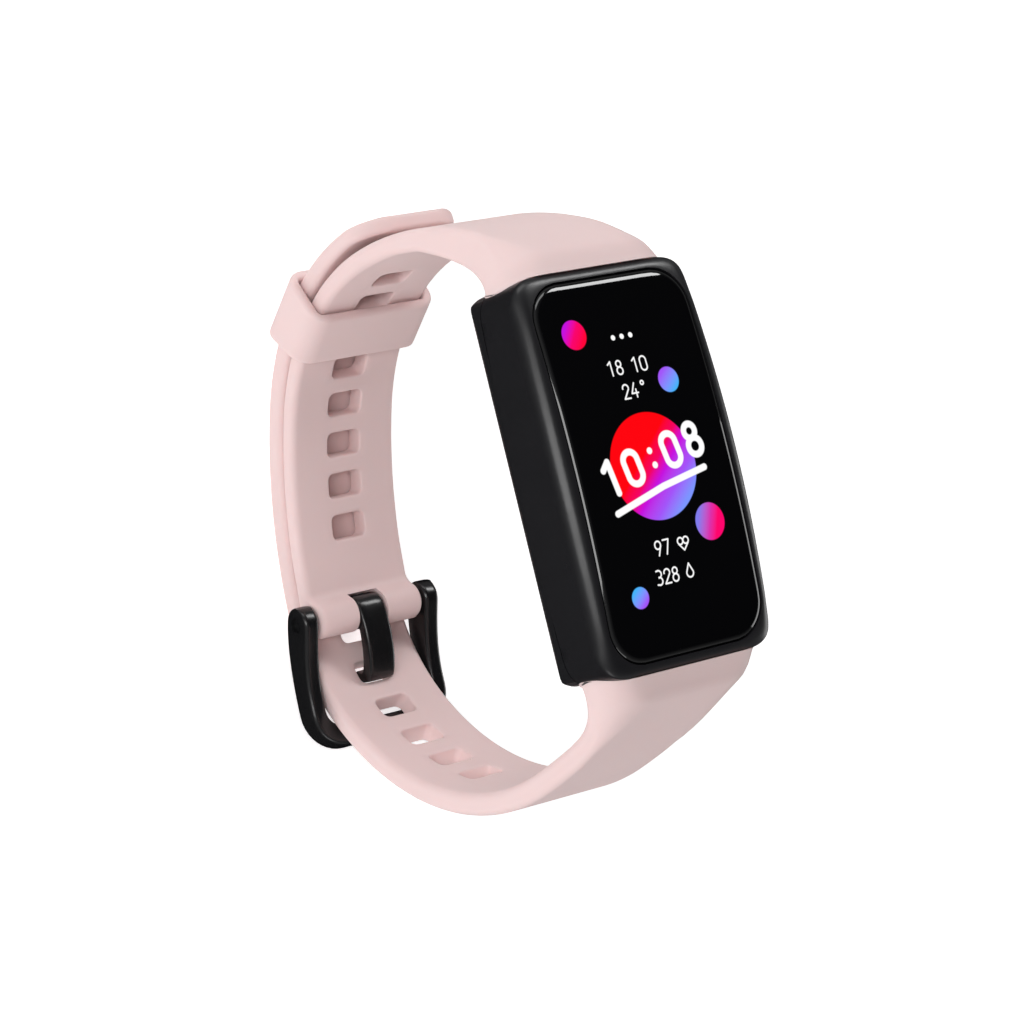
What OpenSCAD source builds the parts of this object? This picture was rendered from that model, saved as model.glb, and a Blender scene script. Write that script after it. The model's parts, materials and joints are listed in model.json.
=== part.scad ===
// Fitness tracker band: arched case on a two-part strap closed in a loop.
// X points to the 3 o'clock side (button), Y to 12 o'clock, Z out of the display.
// The origin is the middle of the rear sensor face. All lengths in millimetres.

/* [Case] */
// Case length along the band, front face
case_l = 43; // [40:0.1:48]
// Case width at mid length
case_w = 25.4; // [24:0.1:28]
// Rear sensor face to the crown of the glass
total_t = 11.45; // [10.5:0.05:13]
// Radius of the arched front, along the band
front_r = 179; // [150:1:400]
// Height of the raised sensor bump behind the rear cover
bump_h = 1.45; // [1:0.05:2]
// Height of the seam between case body and rear cover
seam_z = 3.75; // [3.4:0.05:4.5]

/* [Glass and display] */
// Cover glass width
glass_w = 21.4; // [20:0.1:22]
// Cover glass length
glass_l = 40.7; // [39:0.1:41]
// Cover glass thickness
glass_t = 1.0; // [0.7:0.05:1.3]
// Lit area width
lit_w = 17.4; // [16:0.1:18]
// Lit area length
lit_l = 33; // [30:0.1:35]

/* [Strap] */
// Strap width in the straight part
strap_w = 14.8; // [12:0.1:18]
// Thickness of the long strap
long_t = 2.6; // [2:0.1:3]
// Thickness of the short strap
short_t = 2.3; // [2:0.1:2.6]
// Pitch of the holes in the long strap
long_pitch = 5.7; // [5:0.1:6]
// Pitch of the holes in the short strap
short_pitch = 5; // [4.5:0.1:5.5]
// Width of an adjustment hole
hole_w = 4.7; // [3.8:0.1:5.2]
// Number of holes in the long strap
long_holes = 6; // [5:1:15]
// Number of holes in the short strap
short_holes = 8; // [4:1:8]

/* [Keeper] */
// Length of the keeper along the strap
keeper_l = 7.8; // [7:0.1:12]
// Keeper wall thickness
keeper_t = 1.25; // [1:0.05:1.6]

/* [Buckle] */
// Thickness of the buckle ears and arms
arm_w = 2; // [1.6:0.1:2.4]
// Height of the buckle arms
arm_h = 2.9; // [2.4:0.1:3.4]
// Outer radius of an ear
ear_r = 2; // [1.8:0.05:2.2]
// Tongue width
tongue_w = 3.7; // [2.6:0.1:4]
// Spring bar diameter
bar_d = 1.8; // [1.5:0.1:2]

/* [Hidden] */
$fn = 64;
gap = 0.2;
front_z = total_t - 0.25;
half_w = case_w / 2;
half_l = case_l / 2;
edge = half_w + 0.05;
join_z = 9.8;
cell = [15, 24, 4];
tip_d = 1.1;
pin = [-7.15, -46.25];
hole_h = 3;

// Outer face of the long strap: tangent arcs from the 6 o'clock end of the case,
// as [radius, sweep], heading measured from +Y toward +Z.
run = [[4, 56.57], [103.89, 11.33], [33.28, 66.4], [23.03, 42.36],
       [59.76, 22.07], [29.82, 57.86], [47.9, 39.4]];
head0 = 187;
function heading(i) = i == 0 ? head0 : heading(i - 1) + run[i - 1][1];
function start(i) = i == 0 ? [-half_l, join_z]
  : centre(i - 1) + run[i - 1][0] * [sin(heading(i)), -cos(heading(i))];
function centre(i) = start(i) + run[i][0] * [-sin(heading(i)), cos(heading(i))];
// Length of arc i at depth off below the outer face, and the arc that holds length s.
function span(i, off) = (run[i][0] - off) * run[i][1] * PI / 180;
function find(s, off, i = 0) = s <= span(i, off) || i == len(run) - 1
  ? [i, heading(i) - 90 + s / (run[i][0] - off) * 180 / PI] : find(s - span(i, off), off, i + 1);
// Points of an arc in the side plane.
function arc(c, r, a0, a1, n = 24) =
  [for (k = [0 : n]) let (a = a0 + (a1 - a0) * k / n) c + r * [cos(a), sin(a)]];
function bez(p, n = 16) = [for (k = [0 : n]) let (t = k / n, u = 1 - t)
  u * u * u * p[0] + 3 * u * u * t * p[1] + 3 * u * t * t * p[2] + t * t * t * p[3]];
function flip(p) = [for (k = [len(p) - 1 : -1 : 0]) [-p[k][0], p[k][1]]];
function neg(p) = [for (q = p) [-q[0], q[1]]];

// Puts a shape drawn in the side plane (first axis Y, second Z) across the width, centred on X.
module across(w) rotate([90, 0, 90]) translate([0, 0, -w / 2]) linear_extrude(w) children();
module disc(p, d, x0, x1) translate([x0, p[0], p[1]]) rotate([0, 90, 0]) cylinder(d = d, h = x1 - x0);
module round_rect(w, l, r0) let (r = min(r0, w / 2 - 0.01)) {
  square([w - 2 * r, l], center = true);
  square([w, l - 2 * r], center = true);
  for (x = [-1, 1], y = [-1, 1]) translate([x * (w / 2 - r), y * (l / 2 - r)]) circle(r);
}
// Strap section swept about centre c from angle a0 to a1 between two radii.
module sector(c, r0, r1, w, a0, a1, r = 0.6) translate([0, c[0], c[1]]) rotate([90, 0, 90])
  rotate([0, 0, a0]) rotate_extrude(angle = a1 - a0, $fn = 180) translate([(r0 + r1) / 2, 0])
    round_rect(r1 - r0, w, r);

// Outline of the case seen from the front: bowed sides and rounded corners, grown by g.
function plan_side(g) = [for (k = [-8 : 8]) let (y = 17.1 * k / 8) [half_w + g - y * y / 640, y]];
function corner(g, n = 10) = [for (k = [1 : n]) let (a = 90 * k / n)
  [8 + (4.243 + g) * pow(cos(a), 0.75), 17.1 + (half_l - 17.1 + g) * pow(sin(a), 0.75)]];
function plan(g) = concat(plan_side(g), corner(g), flip(corner(g)),
  [for (q = plan_side(g)) -q], [for (q = corner(g)) -q], [for (q = flip(corner(g))) -q]);

// Slab between two heights that follows the arch of the front.
module arched(lo, hi) across(40) polygon(concat(
  arc([0, hi - front_r], front_r, 83, 97), arc([0, lo - front_r], front_r, 97, 83)));
// Solid of the closed case, outside surface.
module case_solid() intersection() {
  linear_extrude(16) polygon(plan(0));
  translate([0, 0, front_z - front_r]) rotate([90, 0, 90]) rotate([0, 0, 82])
    rotate_extrude(angle = 16, $fn = 360) polygon(concat([[front_r - 12, -edge]],
      [for (a = [-90 : 10 : 0]) [front_r - 2 + 2 * cos(a), 2 - edge + 2 * sin(a)]],
      [for (a = [0 : 10 : 90]) [front_r - 2 + 2 * cos(a), edge - 2 + 2 * sin(a)]],
      [[front_r - 12, edge]]));
  rotate([90, 0, 0]) translate([0, 0, -30]) linear_extrude(60) polygon(concat(
    [[half_w, 16], [half_w, 9]], arc([half_w - 2.2, bump_h + 1.8], 1.8, 0, -90, 8),
    flip(arc([half_w - 2.2, bump_h + 1.8], 1.8, 0, -90, 8)), [[-half_w, 9], [-half_w, 16]]));
  across(40) polygon(concat([[half_l, 16], [half_l, join_z]],
    arc([half_l - 2, bump_h + 1.5], 1.5, 0, -90, 8),
    flip(arc([half_l - 2, bump_h + 1.5], 1.5, 0, -90, 8)), [[-half_l, join_z], [-half_l, 16]]));
}
module mirror_y() { children(); mirror([0, 1, 0]) children(); }

module case_body() color([0.13, 0.13, 0.14]) difference() {
  intersection() { case_solid(); translate([-30, -30, seam_z]) cube([60, 60, 20]); }
  // interior, display opening and glass seat
  translate([0, 0, seam_z - 1]) linear_extrude(5.75) round_rect(22.2, 39, 4);
  linear_extrude(14) round_rect(19.4, 37.6, 3);
  intersection() {
    linear_extrude(16) round_rect(glass_w + 0.2, glass_l + 0.2, 4.4);
    arched(total_t - glass_t - 0.2, 15);
  }
  // pockets for the strap lugs, and the button bore with its seat
  for (s = [-1, 1]) translate([-6.6, s * 21.15 - 0.9, 4.9]) cube([13.2, 1.8, 2.2]);
  translate([10, 0, 6.5]) rotate([0, 90, 0]) linear_extrude(5) round_rect(2.3, 8.1, 1.15);
}

module rear_cover() color([0.1, 0.1, 0.11]) difference() {
  union() {
    intersection() { case_solid(); translate([-30, -30, 0]) cube([60, 60, seam_z - 0.05]); }
    rotate_extrude() polygon([[0, 0.25], [7.6, 0.25], [8.1, 0.4], [9.3, bump_h + 0.2], [0, bump_h + 0.2]]);
  }
  translate([0, 0, bump_h + 1.2]) linear_extrude(4) round_rect(21.4, 38.4, 3.6);
  translate([0, 0, -1]) cylinder(r = 6.1, h = 2);
  translate([0, 0, 0.95]) cylinder(r = 6.9, h = 3);
  for (x = [-2.6, 2.6]) translate([x, -13.5, 0]) cylinder(d = 2.1, h = 4);
  // seats of the charging magnets
  for (x = [-7, 7]) translate([x, -14.4, 2.05]) cylinder(d = 4.1, h = 2);
}

module rear_gasket() color([0.55, 0.14, 0.12]) translate([0, 0, 2.72]) linear_extrude(0.9) difference() {
  round_rect(21.3, 38.3, 3.5); round_rect(20.1, 37.1, 2.9);
}

module cover_glass() color([0.02, 0.02, 0.03]) intersection() {
  linear_extrude(16) round_rect(glass_w, glass_l, 4.3);
  arched(total_t - glass_t, total_t);
}

module glass_adhesive() color([0.2, 0.2, 0.22]) intersection() {
  linear_extrude(16) difference() {
    round_rect(glass_w - 0.2, glass_l - 0.2, 4.2); round_rect(19.6, 37.8, 3);
  }
  arched(total_t - glass_t - 0.18, total_t - glass_t - 0.02);
}

module display_panel() color([0.05, 0.05, 0.07]) intersection() {
  linear_extrude(16) round_rect(lit_w + 1.2, lit_l + 2.6, 3.6);
  arched(total_t - glass_t - 0.85, total_t - glass_t - 0.03);
}

module display_flex() color([0.72, 0.45, 0.12]) translate([0, -17.2, 0]) across(6) polygon(concat(
  [[0, 8.69], [-0.9, 8.69]], arc([-0.9, 8.32], 0.37, 90, 270, 8), [[1.5, 7.95], [1.5, 8.08], [-0.9, 8.08]],
  arc([-0.9, 8.32], 0.24, 270, 90, 8), [[0, 8.56]]));

module inner_frame() color([0.25, 0.25, 0.27]) difference() {
  translate([0, 0, 3.85]) linear_extrude(3.3) round_rect(21.6, 38.4, 3.8);
  translate([0, 0, 3]) linear_extrude(4) round_rect(15.6, 24.6, 0.6);
  // motor well, screw bores, connector well and the button switch bay
  translate([0, 15.5, 3]) cylinder(d = 6.1, h = 6);
  translate([-4.5, -17.5, 3]) cube([9, 4, 6]);
  for (x = [-8.6, 8.6], y = [-14.5, 14.5]) translate([x, y, 3]) cylinder(d = 1.1, h = 6);
  translate([8.9, -5.2, 3]) cube([3, 10.4, 6]);
  for (x = [-7, 7]) translate([x, -14.4, 2]) cylinder(d = 4.3, h = 2.4);
}

module battery_cell() color([0.75, 0.76, 0.78]) translate([0, 0, 3]) {
  linear_extrude(cell[2]) round_rect(cell[0], cell[1], 0.8);
  translate([-3, cell[1] / 2 - 0.2, 1.4]) cube([6, 0.45, 1.2]);
}

module battery_foam() color([0.15, 0.15, 0.16]) translate([0, 0, 2.68]) linear_extrude(0.3) difference() {
  round_rect(15, 23.6, 0.8); circle(7.2);
}

module main_board() color([0.05, 0.27, 0.16]) difference() {
  translate([0, 0, 7.2]) linear_extrude(0.7) round_rect(19.6, 36.6, 3);
  for (x = [-8.6, 8.6], y = [-14.5, 14.5]) translate([x, y, 6]) cylinder(d = 1.1, h = 3);
}

module chip(p, s) translate([p[0] - s[0] / 2, p[1] - s[1] / 2, p[2]]) {
  cube([s[0], s[1], s[2] * 0.82]);
  translate([s[0] * 0.04, s[1] * 0.04, 0]) cube([s[0] * 0.92, s[1] * 0.92, s[2]]);
}
module main_chip() color([0.09, 0.09, 0.1]) chip([-3, 3.4, 7.9], [6, 6, 0.9]);
module memory_chip() color([0.09, 0.09, 0.1]) chip([4, 4, 7.9], [4, 5, 0.8]);
module power_chip() color([0.09, 0.09, 0.1]) chip([3.6, -3.2, 7.9], [3, 3, 0.7]);
module motion_chip() color([0.12, 0.12, 0.13]) chip([-4, -4, 7.9], [2.5, 3, 0.8]);

module board_connector() color([0.8, 0.78, 0.7]) translate([-3.2, -15.6, 0]) {
  translate([0, 0, 7.9]) cube([6.4, 0.6, 0.5]);
  translate([0, -0.7, 6.3]) cube([6.4, 2, 0.9]);
}

module antenna() color([0.8, 0.6, 0.3]) for (k = [0 : 2]) translate([-6 + 4.2 * k, 16.6, 7.9]) {
  cube([3.6, 0.3, 0.16]);
  translate([0, -1.4, 0]) cube([0.3, 1.5, 0.16]);
  if (k < 2) translate([0.2, -1.4, 0]) cube([4.2, 0.3, 0.16]);
  translate([3.3, -1.4, 0]) cube([0.3, 1.5, 0.16]);
}

// Coin motor: cup around a shaft, with a half-disc weight on it.
module motor_housing() color([0.7, 0.71, 0.73]) translate([0, 15.5, 3]) {
  difference() { cylinder(d = 5.7, h = 2.7); translate([0, 0, 0.25]) cylinder(d = 5.2, h = 2.2); }
  cylinder(d = 0.7, h = 2.6);
}
module motor_rotor() color([0.6, 0.55, 0.45]) translate([0, 15.5, 3.55]) difference() {
  union() {
    cylinder(d = 1.6, h = 1.6);
    rotate_extrude(angle = 180) translate([0.5, 0]) square([1.9, 1.6]);
  }
  translate([0, 0, -1]) cylinder(d = 0.8, h = 4);
}

module sensor_window() color([0.03, 0.03, 0.04]) rotate_extrude() polygon(concat(
  [[0, 0]], arc([5.7, 0.3], 0.3, -90, 0, 6), [[6, 0.85], [0, 0.85]]));
module sensor_board() color([0.04, 0.25, 0.3]) translate([0, 0, 1.95]) cylinder(r = 6.7, h = 0.55);
module emitters() color([0.75, 0.95, 0.7]) for (x = [-0.95, 0.95]) translate([x - 0.7, -0.8, 1.35])
  cube([1.4, 1.6, 0.6]);
module photodiodes() color([0.15, 0.12, 0.25]) for (s = [-1, 1]) translate([s * 4.1 - 1.1, -1.4, 1.45])
  cube([2.2, 2.8, 0.5]);
module light_barrier() color([0.06, 0.06, 0.06]) translate([0, 0, 0.97]) linear_extrude(0.98) difference() {
  circle(6.6); circle(5.9); }
module charge_contacts() color([0.85, 0.66, 0.3]) for (x = [-2.6, 2.6]) translate([x, -13.5, bump_h - 0.02]) {
  cylinder(d = 2, h = 1.3);
  translate([0, 0, 1.23]) cylinder(d = 3, h = 0.3);
}
module charge_magnets() color([0.65, 0.65, 0.68]) for (x = [-7, 7]) translate([x, -14.4, 2.1])
  cylinder(d = 4, h = 1.6);

// Side button: oval cap with a stem behind a collar.
module button_cap() color([0.12, 0.12, 0.13]) translate([0, 0, 6.5]) rotate([0, 90, 0]) {
  translate([0, 0, 11.5]) linear_extrude(1.7) round_rect(2.2, 8, 1.1);
  translate([0, 0, 10.75]) linear_extrude(0.8) round_rect(1.4, 4, 0.7);
}
module button_seal() color([0.5, 0.12, 0.1]) translate([11.08, 0, 6.5]) rotate([0, -90, 0]) linear_extrude(0.4)
  difference() { round_rect(3.2, 9.2, 1.6); round_rect(1.6, 4.2, 0.8); }
module button_switch() color([0.7, 0.7, 0.7]) {
  translate([9.15, -4.6, 4.8]) cube([0.4, 9.2, 2.3]);
  translate([9.55, -1.8, 5.1]) cube([0.5, 3.6, 1.9]);
  translate([10, 0, 6.5]) rotate([0, 90, 0]) cylinder(d = 1.2, h = 0.35);
}
module board_screws() color([0.6, 0.6, 0.62]) for (x = [-8.6, 8.6], y = [-14.5, 14.5]) translate([x, y, 0]) {
  translate([0, 0, 4.6]) cylinder(d = 1, h = 3.3);
  difference() {
    translate([0, 0, 7.9]) cylinder(d = 1.9, h = 0.6);
    for (a = [0, 90]) rotate([0, 0, a]) translate([-0.6, -0.12, 8.2]) cube([1.2, 0.24, 1]);
  }
}

// Rigid end piece moulded into a strap: block, lug for the case pocket and latch well.
module insert() difference() {
  union() {
    translate([-7.8, 21.6, 4.1]) cube([15.6, 2.7, 3.3]);
    translate([-6.5, 20.35, 5]) cube([13, 1.3, 2]);
  }
  translate([-2.65, 22, 3]) cube([5.3, 1.8, 3.9]);
}
module upper_insert() color([0.18, 0.18, 0.19]) insert();
module lower_insert() color([0.18, 0.18, 0.19]) mirror([0, 1, 0]) insert();
module latch() {
  translate([-2.58, 22.07, 1.5]) cube([5.16, 1.66, 3.6]);
  translate([-1.6, 22.3, 1.2]) cube([3.2, 1.2, 1]);
}
module upper_latch() color([0.1, 0.1, 0.11]) latch();
module lower_latch() color([0.1, 0.1, 0.11]) mirror([0, 1, 0]) latch();
// Bowed leaf springs between latch and insert.
module latch_springs() color([0.7, 0.7, 0.72]) mirror_y() translate([0, 22.9, 0]) rotate([90, 0, 0])
  translate([0, 0, -0.7]) linear_extrude(1.4) polygon(concat(
    arc([0, 4.65], 2.2, 30, 150, 16), arc([0, 4.65], 2.05, 150, 30, 16)));

// Points of the arcs i0 to i1 at depth off, starting at angle a and ending at angle b.
function path(i0, i1, off, a, b) = [for (i = [i0 : i1], k = [i == i0 ? 0 : 1 : 18])
  let (p = i == i0 ? a : heading(i) - 90, q = i == i1 ? b : heading(i + 1) - 90, t = p + (q - p) * k / 18)
  centre(i) + (run[i][0] - off) * [cos(t), sin(t)]];
function back(p) = [for (k = [len(p) - 1 : -1 : 0]) p[k]];
// Strap of the 12 o'clock side: side profile inside a plan taper and rounded shoulders,
// cut by the case outline, with the bay of the insert and the latch well.
module strap_body(profile) difference() {
  intersection() {
    across(30) polygon(profile);
    union() {
      translate([-strap_w / 2, -45, -70]) cube([strap_w, 90, 90]);
      translate([0, 0, -14]) linear_extrude(28) polygon(concat(
        [[-11.3, 19.5], [11.3, 19.5]], bez([[11.3, 20.2], [10.6, 23.4], [7.5, 25], [strap_w / 2, 29.2]]),
        bez([[-strap_w / 2, 29.2], [-7.5, 25], [-10.6, 23.4], [-11.3, 20.2]])));
    }
    rotate([90, 0, 0]) translate([0, 0, -45]) linear_extrude(90) polygon(concat([[11.3, -70]],
      arc([6.5, 5], 4.8, 0, 90, 10), flip(arc([6.5, 5], 4.8, 0, 90, 10)), [[-11.3, -70]]));
  }
  translate([0, 0, -10]) linear_extrude(30) polygon(plan(0.05));
  translate([-7.85, 20, 4.05]) cube([15.7, 4.35, 3.4]);
  translate([-2.65, 22, -2]) cube([5.3, 1.8, 8]);
}
// Cuts a rounded slot through a strap at angle a of arc i.
module slot(i, a, r, w, h) translate([0, centre(i)[0], centre(i)[1]]) rotate([a, 0, 0])
  translate([0, r, 0]) rotate([90, 0, 0]) translate([0, 0, -4]) linear_extrude(8) round_rect(w, h, 0.8);

// Short strap: its outer face lies 0.2 inside the long strap; it ends in a tube around the bar.
short_end = 266;
short_out = long_t + gap;
short_in = short_out + short_t;
module upper_strap() color([0.89, 0.79, 0.78]) difference() {
  union() {
    strap_body(concat([[19.5, join_z + 0.25]], neg(arc([-half_l + 0.49, join_z - 3.97], 4, 97, 146, 10)),
      back(path(3, 6, short_out, short_end, 392.9)), path(3, 6, short_in, short_end, 362.7),
      bez([[28.8, -11], [26.6, -5], [23.6, 2.2], [19.5, 2.9]])));
    disc(pin, 4.3, -strap_w / 2, strap_w / 2);
  }
  for (k = [0 : short_holes - 1]) let (q = find(76.05 + short_pitch * k, 3.95))
    slot(q[0], q[1], run[q[0]][0] - 3.95, hole_w, hole_h);
  disc(pin, bar_d + 0.2, -10, 10);
  // slot for the tongue, open at the strap end
  translate([-tongue_w / 2 - 0.25, -13, -52]) cube([tongue_w + 0.5, 8.2, 10]);
}

tip_s = 136.5;
tip_a = find(tip_s, 0)[1];
module lower_strap() color([0.89, 0.79, 0.78]) difference() {
  mirror([0, 1, 0]) strap_body(neg(concat([[-19.5, join_z + 0.25]],
    arc([-half_l + 0.49, join_z - 3.97], 4, 97, 152, 10), path(1, 6, 0, 153.57, tip_a),
    back(path(1, 6, long_t, 160.5, tip_a)),
    bez([[-26.9, -4.3], [-25.6, -0.8], [-23.2, 2.2], [-19.5, 2.9]]))));
  for (k = [0 : long_holes - 1]) let (q = find(43.14 + long_pitch * k, long_t / 2))
    slot(q[0], q[1], run[q[0]][0] - long_t / 2, hole_w, hole_h);
  // rounded end of the tail
  translate([0, 38, -23.15]) rotate([90, 0, 0]) linear_extrude(8) difference() {
    translate([-8, 0.1]) square([16, 8]);
    round_rect(strap_w, 9.2, 4.5);
  }
}

// Keeper: closed loop that slides along both straps.
keep_a = 323.5;
module keeper() color([0.88, 0.77, 0.76]) let (c = centre(5), ro = run[5][0], ri = ro - 2.8 - short_t,
  da = keeper_l / 2 / 27.3 * 180 / PI) difference() {
  sector(c, ri - 0.12 - keeper_t, ro + 0.12 + keeper_t, strap_w + 0.3 + 2 * keeper_t,
    keep_a - da, keep_a + da, 1.6);
  sector(c, ri - 0.12, ro + 0.12, strap_w + 0.3, keep_a - da - 1, keep_a + da + 1, 0.4);
}

// Buckle frame: two ears on the bar, curved arms beside the long strap and a bar outside it.
ear_x = strap_w / 2 + 0.4;
arm_c = [-17.6, -23.5];
module buckle_frame() color([0.08, 0.08, 0.09]) difference() {
  union() {
    for (s = [-1, 1]) {
      disc(pin, 2 * ear_r, s * (ear_x + arm_w / 2) - arm_w / 2, s * (ear_x + arm_w / 2) + arm_w / 2);
      translate([s * (ear_x + arm_w / 2), 0, 0])
        sector(arm_c, 25 - arm_h / 2, 25 + arm_h / 2, arm_w, 261.5, 294.7, 0.5);
    }
    sector(centre(3), 23.35, 25.75, 2 * ear_x + 2 * arm_w, 229.5, 236, 0.8);
  }
  disc(pin, tip_d + 0.1, -12, 12);
  for (s = [-1, 1]) disc(pin, 1.7, s * (ear_x + arm_w - 0.2) - 0.25, s * (ear_x + arm_w - 0.2) + 0.25);
}

// Tongue: ring on the bar, plate along the wrist side and a tip through the strap hole.
module buckle_tongue() color([0.07, 0.07, 0.08]) difference() {
  union() {
    disc(pin, 4, -tongue_w / 2, tongue_w / 2);
    across(tongue_w) polygon(concat([[-7.15, -45.2]],
      bez([[-6.75, -44.3], [-9.6, -43.7], [-13.7, -44.2], [-15.3, -45.7]]),
      arc(pin, 8.3, 180, 195, 5), [pin + 7.8 * [cos(197.5), sin(197.5)], pin + 7.3 * [cos(198), sin(198)]],
      arc(pin, 7, 196, 187, 3),
      bez([[-14.15, -46.95], [-13.4, -46.2], [-11, -45.6], [-8.9, -45.5]]), [[-8.2, -46.8]]));
  }
  disc(pin, bar_d + 0.1, -4, 4);
}

// Spring bar: tube with two end pins that push in against a spring.
module spring_bar() color([0.62, 0.62, 0.64]) difference() {
  disc(pin, bar_d, -ear_x + 0.15, ear_x - 0.15);
  disc(pin, tip_d + 0.06, -12, 12);
}
module bar_tip(s) {
  disc(pin, tip_d, min(s * 4.6, s * (ear_x + arm_w - 0.4)), max(s * 4.6, s * (ear_x + arm_w - 0.4)));
}
module bar_tip_left() color([0.7, 0.7, 0.72]) bar_tip(-1);
module bar_tip_right() color([0.7, 0.7, 0.72]) bar_tip(1);
module bar_spring() color([0.55, 0.55, 0.57]) difference() {
  union() {
    disc(pin, 0.5, -2.8, 2.8);
    for (k = [-6 : 6]) disc(pin, 0.96, k * 0.4 - 0.1, k * 0.4 + 0.1);
  }
  disc(pin, 0.3, -4, 4);
}

case_body();
rear_cover();
rear_gasket();
cover_glass();
glass_adhesive();
display_panel();
display_flex();
inner_frame();
battery_cell();
battery_foam();
main_board();
main_chip();
memory_chip();
power_chip();
motion_chip();
board_connector();
antenna();
motor_housing();
motor_rotor();
sensor_window();
sensor_board();
emitters();
photodiodes();
light_barrier();
charge_contacts();
charge_magnets();
button_cap();
button_seal();
button_switch();
board_screws();
upper_insert();
lower_insert();
upper_latch();
lower_latch();
latch_springs();
upper_strap();
lower_strap();
keeper();
buckle_frame();
buckle_tongue();
spring_bar();
bar_tip_left();
bar_tip_right();
bar_spring();
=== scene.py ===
import bmesh
import bpy
import json
import math
from mathutils import Vector, Matrix


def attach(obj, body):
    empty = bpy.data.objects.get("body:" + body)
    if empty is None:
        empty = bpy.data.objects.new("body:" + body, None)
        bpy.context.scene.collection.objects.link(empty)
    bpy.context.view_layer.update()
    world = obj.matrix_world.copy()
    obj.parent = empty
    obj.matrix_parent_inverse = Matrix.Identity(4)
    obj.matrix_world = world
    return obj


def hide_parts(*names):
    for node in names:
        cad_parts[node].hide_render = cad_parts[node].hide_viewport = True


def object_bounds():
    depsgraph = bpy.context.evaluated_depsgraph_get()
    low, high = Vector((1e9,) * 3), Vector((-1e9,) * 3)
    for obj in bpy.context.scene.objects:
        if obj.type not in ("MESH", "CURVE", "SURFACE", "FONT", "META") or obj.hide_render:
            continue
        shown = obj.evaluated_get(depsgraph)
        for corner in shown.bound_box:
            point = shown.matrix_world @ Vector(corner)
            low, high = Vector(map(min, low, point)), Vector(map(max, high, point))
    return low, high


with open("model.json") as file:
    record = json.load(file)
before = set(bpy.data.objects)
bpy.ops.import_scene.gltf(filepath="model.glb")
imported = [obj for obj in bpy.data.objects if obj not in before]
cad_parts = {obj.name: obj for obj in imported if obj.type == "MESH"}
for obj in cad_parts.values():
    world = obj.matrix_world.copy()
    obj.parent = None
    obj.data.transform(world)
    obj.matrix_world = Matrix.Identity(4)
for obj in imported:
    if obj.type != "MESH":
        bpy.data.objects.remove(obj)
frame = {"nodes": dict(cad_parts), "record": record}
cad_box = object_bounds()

scene = bpy.context.scene
MM = 0.001
PLAN_MM = (1000, 1000, 0)  # metres to millimetres, seen along Z
CORNERS = ((1, 1, 0), (-1, 1, 90), (-1, -1, 180), (1, -1, 270))  # sides and first angle
pi = math.pi


def rad(a):
    return a * pi / 180


def lerp(a, b, t):
    return a + (b - a) * t


def mix2(p, q, t):
    return (lerp(p[0], q[0], t), lerp(p[1], q[1], t))


def smooth01(t):
    t = max(0.0, min(1.0, t))
    return t * t * (3 - 2 * t)


# ---------------------------------------------------------------- materials
class Nodes:
    """Small helper that writes a material's node tree."""

    def __init__(self, name):
        self.mat = bpy.data.materials.new(name)
        self.mat.use_nodes = True
        self.t = self.mat.node_tree
        self.bsdf = next(n for n in self.t.nodes if n.type == "BSDF_PRINCIPLED")

    def new(self, kind, **kw):
        n = self.t.nodes.new(kind)
        for k, v in kw.items():
            setattr(n, k, v)
        return n

    def put(self, node, socket, value):
        if isinstance(value, bpy.types.NodeSocket):
            self.t.links.new(value, node.inputs[socket])
        else:
            node.inputs[socket].default_value = value

    def coord(self):
        return self.new("ShaderNodeTexCoord").outputs["Object"]

    def noise(self, vec, scale, detail=3.0, rough=0.5):
        n = self.new("ShaderNodeTexNoise")
        self.put(n, "Vector", vec)
        self.put(n, "Scale", scale)
        self.put(n, "Detail", detail)
        self.put(n, "Roughness", rough)
        return n.outputs["Fac"]

    def math(self, op, a, b=0.0, clamp=False):
        n = self.new("ShaderNodeMath", operation=op, use_clamp=clamp)
        self.put(n, 0, a)
        if op not in ("ABSOLUTE", "SQRT"):
            self.put(n, 1, b)
        return n.outputs[0]

    def vmath(self, op, a, b=(0, 0, 0)):
        n = self.new("ShaderNodeVectorMath", operation=op)
        self.put(n, 0, a)
        if op == "SCALE":
            self.put(n, "Scale", b)
        elif op != "LENGTH":
            self.put(n, 1, b)
        return n.outputs["Value" if op in ("DOT_PRODUCT", "LENGTH") else "Vector"]

    def ramp(self, fac, stops):
        n = self.new("ShaderNodeValToRGB")
        e = n.color_ramp.elements
        while len(e) < len(stops):
            e.new(0.5)
        for i, (p, c) in enumerate(stops):
            e[i].position = p
            e[i].color = (*c, 1.0)
        self.put(n, "Fac", fac)
        return n.outputs["Color"]

    def mix(self, fac, a, b):
        n = self.new("ShaderNodeMix", data_type="RGBA")
        self.put(n, 0, fac)
        for i, v in ((6, a), (7, b)):
            self.put(n, i, v if isinstance(v, bpy.types.NodeSocket) else (*v, 1.0))
        return n.outputs[2]

    def span(self, fac, lo, hi):
        n = self.new("ShaderNodeMapRange")
        self.put(n, "Value", fac)
        self.put(n, "To Min", lo)
        self.put(n, "To Max", hi)
        return n.outputs[0]

    def bump(self, height, strength, distance):
        n = self.new("ShaderNodeBump")
        self.put(n, "Strength", strength)
        self.put(n, "Distance", distance)
        self.put(n, "Height", height)
        self.put(self.bsdf, "Normal", n.outputs["Normal"])

    def set(self, **kw):
        for k, v in kw.items():
            self.put(self.bsdf, k.replace("_", " "), v)


def shade(c, f):
    return tuple(min(1.0, v * f) for v in c)


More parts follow.
